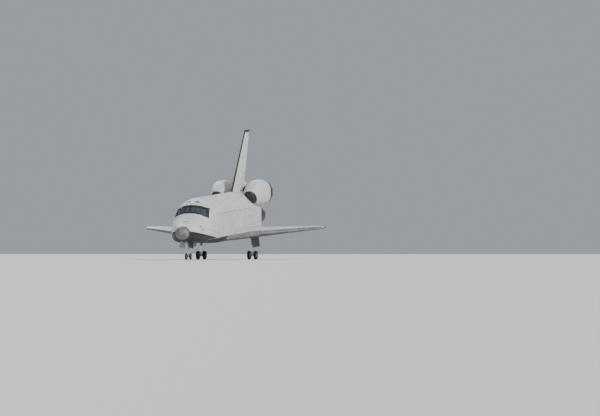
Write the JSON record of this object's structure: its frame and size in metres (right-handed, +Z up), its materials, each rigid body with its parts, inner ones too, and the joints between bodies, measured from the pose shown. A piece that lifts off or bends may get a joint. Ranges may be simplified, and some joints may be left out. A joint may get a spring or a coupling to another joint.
{
  "type": "winged space shuttle orbiter",
  "caption": "Winged orbiter parked on its landing gear, with a hollow payload bay behind opening doors, swept wings with moving surfaces, a split rudder and engine bells at the back.",
  "frame": {"origin": "bottom centre of the bounding box, on the ground under the parked vehicle", "axes": "+X towards the nose, +Y to port, +Z up"},
  "size_m": [36.5526, 23.7916, 17.3792],
  "materials": {
    "carbon": "matt grey carbon composite",
    "white_tile": "matt white tiles and blankets",
    "black_tile": "matt black glazed tiles",
    "window_glass": "dark coated panes",
    "engine_metal": "heat stained alloy",
    "leg_paint": "white paint",
    "wheel_metal": "forged rim",
    "tyre_rubber": "black rubber",
    "cabin_fitting": "grey paint"
  },
  "bodies": {
    "airframe": {"nose_cap": "carbon", "forward_fuselage": "white_tile", "forward_thruster_module": "white_tile", "windshield": "window_glass", "overhead_windows": "window_glass", "instrument_panel": "cabin_fitting", "crew_seat_left": "cabin_fitting", "crew_seat_right": "cabin_fitting", "mid_fuselage": "white_tile", "wing_left": "white_tile", "leading_edge_left": "carbon", "wing_right": "white_tile", "leading_edge_right": "carbon", "aft_fuselage": "white_tile", "base_heat_shield": "black_tile", "main_engine_upper": "engine_metal", "main_engine_left": "engine_metal", "main_engine_right": "engine_metal", "thruster_pod_left": "white_tile", "pod_nozzle_left": "engine_metal", "thruster_pod_right": "white_tile", "pod_nozzle_right": "engine_metal", "vertical_fin": "white_tile", "drag_chute_housing": "white_tile", "main_leg_left": "leg_paint", "main_gear_door_left": "black_tile", "main_leg_right": "leg_paint", "main_gear_door_right": "black_tile", "nose_leg": "leg_paint", "nose_gear_door_left": "black_tile", "nose_gear_door_right": "black_tile"},
    "nose_steering": {"nose_leg_steering": "leg_paint"},
    "nose_wheels": {"nose_wheels": "wheel_metal", "nose_tyre_left": "tyre_rubber", "nose_tyre_right": "tyre_rubber"},
    "main_wheels_left": {"main_wheels_left": "wheel_metal", "main_tyre_outer_left": "tyre_rubber", "main_tyre_inner_left": "tyre_rubber"},
    "main_wheels_right": {"main_wheels_right": "wheel_metal", "main_tyre_outer_right": "tyre_rubber", "main_tyre_inner_right": "tyre_rubber"},
    "elevon_inboard_left": {"elevon_inboard_left": "white_tile"},
    "elevon_outboard_left": {"elevon_outboard_left": "white_tile"},
    "elevon_inboard_right": {"elevon_inboard_right": "white_tile"},
    "elevon_outboard_right": {"elevon_outboard_right": "white_tile"},
    "body_flap": {"body_flap": "black_tile"},
    "rudder": {"rudder_actuator_tube": "engine_metal"},
    "speedbrake_left": {"rudder_panel_left": "white_tile"},
    "speedbrake_right": {"rudder_panel_right": "white_tile"},
    "payload_bay_door_left": {"payload_bay_door_left": "white_tile"},
    "payload_bay_door_right": {"payload_bay_door_right": "white_tile"},
    "side_hatch": {"side_hatch": "white_tile"},
    "umbilical_door_left": {"umbilical_door_left": "black_tile"},
    "umbilical_door_right": {"umbilical_door_right": "black_tile"}
  },
  "joints": [
    {"name": "nose_steering", "type": "hinge", "parent": "airframe", "child": "nose_steering", "pos_m": [14.53322, 0, 1.16036], "axis": [0, 0, 1], "range_deg": [-10, 10]},
    {"name": "nose_wheels", "type": "hinge", "parent": "nose_steering", "child": "nose_wheels", "pos_m": [14.53322, 0, 0.4073], "axis": [0, 1, 0], "continuous": true},
    {"name": "main_wheels_left", "type": "hinge", "parent": "airframe", "child": "main_wheels_left", "pos_m": [-5.67938, 3.4544, 0.56278], "axis": [0, 1, 0], "continuous": true},
    {"name": "main_wheels_right", "type": "hinge", "parent": "airframe", "child": "main_wheels_right", "pos_m": [-5.67938, -3.4544, 0.56278], "axis": [0, 1, 0], "continuous": true},
    {"name": "elevon_inboard_left", "type": "hinge", "parent": "airframe", "child": "elevon_inboard_left", "pos_m": [-10.97787, 5.334, 3.80409], "axis": [0.0033, 0.9981, 0.062], "range_deg": [-18, 33.5]},
    {"name": "elevon_outboard_left", "type": "hinge", "parent": "airframe", "child": "elevon_outboard_left", "pos_m": [-10.96289, 9.9314, 4.08966], "axis": [0.0033, 0.9981, 0.062], "range_deg": [-18, 33.5]},
    {"name": "elevon_inboard_right", "type": "hinge", "parent": "airframe", "child": "elevon_inboard_right", "pos_m": [-10.97787, -5.334, 3.80409], "axis": [-0.0033, 0.9981, -0.062], "range_deg": [-18, 33.5]},
    {"name": "elevon_outboard_right", "type": "hinge", "parent": "airframe", "child": "elevon_outboard_right", "pos_m": [-10.96289, -9.9314, 4.08966], "axis": [-0.0033, 0.9981, -0.062], "range_deg": [-18, 33.5]},
    {"name": "body_flap", "type": "hinge", "parent": "airframe", "child": "body_flap", "pos_m": [-14.66823, 0, 3.76033], "axis": [0, 1, 0], "range_deg": [-22.55, 11.7]},
    {"name": "rudder", "type": "hinge", "parent": "airframe", "child": "rudder", "pos_m": [-15.02908, 0, 13.85148], "axis": [-0.527, 0, 0.8499], "range_deg": [-27, 27]},
    {"name": "speedbrake_left", "type": "hinge", "parent": "rudder", "child": "speedbrake_left", "pos_m": [-15.02908, 0, 13.85148], "axis": [0.527, 0, -0.8499], "range_deg": [0, 49.3]},
    {"name": "speedbrake_right", "type": "hinge", "parent": "rudder", "child": "speedbrake_right", "pos_m": [-15.02908, 0, 13.85148], "axis": [-0.527, 0, 0.8499], "range_deg": [0, 49.3]},
    {"name": "payload_bay_door_left", "type": "hinge", "parent": "airframe", "child": "payload_bay_door_left", "pos_m": [0.49818, 2.6162, 6.32221], "axis": [-0.9986, 0, 0.0524], "range_deg": [0, 175.5]},
    {"name": "payload_bay_door_right", "type": "hinge", "parent": "airframe", "child": "payload_bay_door_right", "pos_m": [0.49818, -2.6162, 6.32221], "axis": [0.9986, 0, -0.0524], "range_deg": [0, 175.5]},
    {"name": "side_hatch", "type": "hinge", "parent": "airframe", "child": "side_hatch", "pos_m": [11.32199, 2.6416, 3.67899], "axis": [-0.9986, 0, 0.0524], "range_deg": [0, 90]},
    {"name": "umbilical_door_left", "type": "hinge", "parent": "airframe", "child": "umbilical_door_left", "pos_m": [-9.8987, 1.3208, 3.04215], "axis": [-0.9986, 0, 0.0524], "range_deg": [0, 170]},
    {"name": "umbilical_door_right", "type": "hinge", "parent": "airframe", "child": "umbilical_door_right", "pos_m": [-9.8987, -1.3208, 3.04215], "axis": [0.9986, 0, -0.0524], "range_deg": [0, 170]}
  ],
  "couplings": [
    {"joint": "speedbrake_right", "follows": "speedbrake_left", "ratio": 1}
  ]
}
